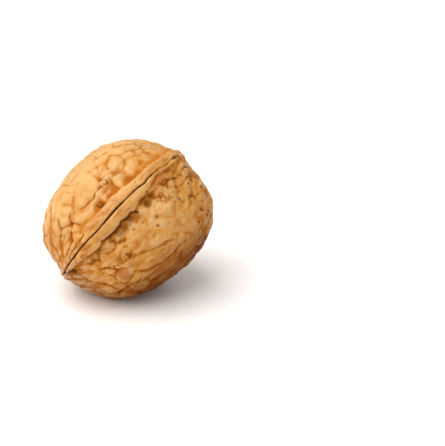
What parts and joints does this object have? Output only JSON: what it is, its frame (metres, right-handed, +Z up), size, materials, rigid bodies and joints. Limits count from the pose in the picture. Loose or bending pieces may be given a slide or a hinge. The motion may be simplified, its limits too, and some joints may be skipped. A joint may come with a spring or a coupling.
{
  "type": "walnut",
  "caption": "Whole walnut in its closed wrinkled shell, with a raised seam ridge and a pointed tip, lying on a small flat spot.",
  "frame": {"origin": "under the middle of the nut's bounding box, in the plane that its flat spot rests on", "axes": "+Z up, away from the surface the nut lies on; the nut's length runs in the XZ plane, dipping 41 degrees from +X (stem end, high) to -X (pointed tip, low); the front of the seam faces -Y and up"},
  "size_m": [0.04, 0.0366, 0.0369],
  "materials": {
    "walnut_shell": "dry natural walnut shell, light tan brown, matt with a faint sheen on the raised plates and dark brown in the seam and furrows"
  },
  "bodies": {
    "root": {"walnut": "walnut_shell"}
  },
  "joints": []
}
